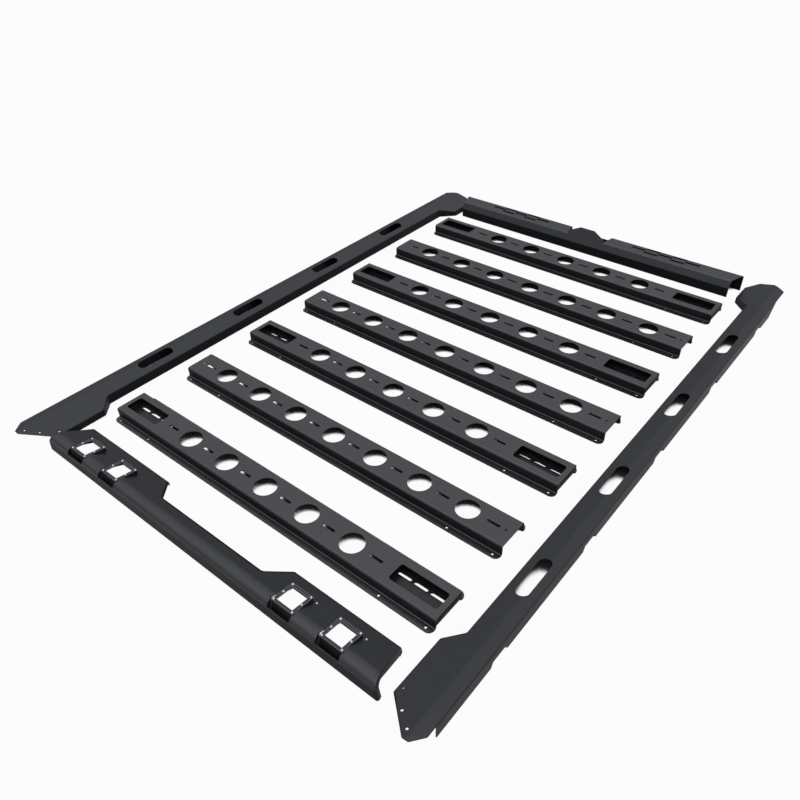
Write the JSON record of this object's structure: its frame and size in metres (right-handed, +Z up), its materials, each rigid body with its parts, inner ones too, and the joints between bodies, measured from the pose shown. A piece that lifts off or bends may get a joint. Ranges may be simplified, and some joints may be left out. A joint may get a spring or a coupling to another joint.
{
  "type": "flat platform roof rack kit, laid out",
  "caption": "Black folded-sheet roof rack laid out in pieces: side rails, front fairing with square lamp frames, perforated cross slats on slotted foot plates, and a rear bar.",
  "frame": {"origin": "on the floor, midway between the outer faces of the side rails and between the rails' ends", "axes": "+X to the right along the cross slats, +Y from the front fairing to the rear bar, +Z up"},
  "size_m": [1.515, 2.1664, 0.0907],
  "materials": {
    "satin_black": "satin powder coat",
    "frame_black": "satin powder coat",
    "plate_black": "satin powder coat"
  },
  "bodies": {
    "root": {"side_rail_right": "satin_black", "side_rail_left": "satin_black", "front_fairing": "satin_black", "lamp_frame_1": "frame_black", "lamp_frame_2": "frame_black", "lamp_frame_3": "frame_black", "lamp_frame_4": "frame_black", "rear_bar": "satin_black", "cross_slat_1": "satin_black", "cross_slat_2": "satin_black", "cross_slat_3": "satin_black", "cross_slat_4": "satin_black", "cross_slat_5": "satin_black", "cross_slat_6": "satin_black", "cross_slat_7": "satin_black", "foot_plate_1_left": "plate_black", "foot_plate_1_right": "plate_black", "foot_plate_3_left": "plate_black", "foot_plate_3_right": "plate_black", "foot_plate_5_left": "plate_black", "foot_plate_5_right": "plate_black", "foot_plate_7_left": "plate_black", "foot_plate_7_right": "plate_black"}
  },
  "joints": []
}
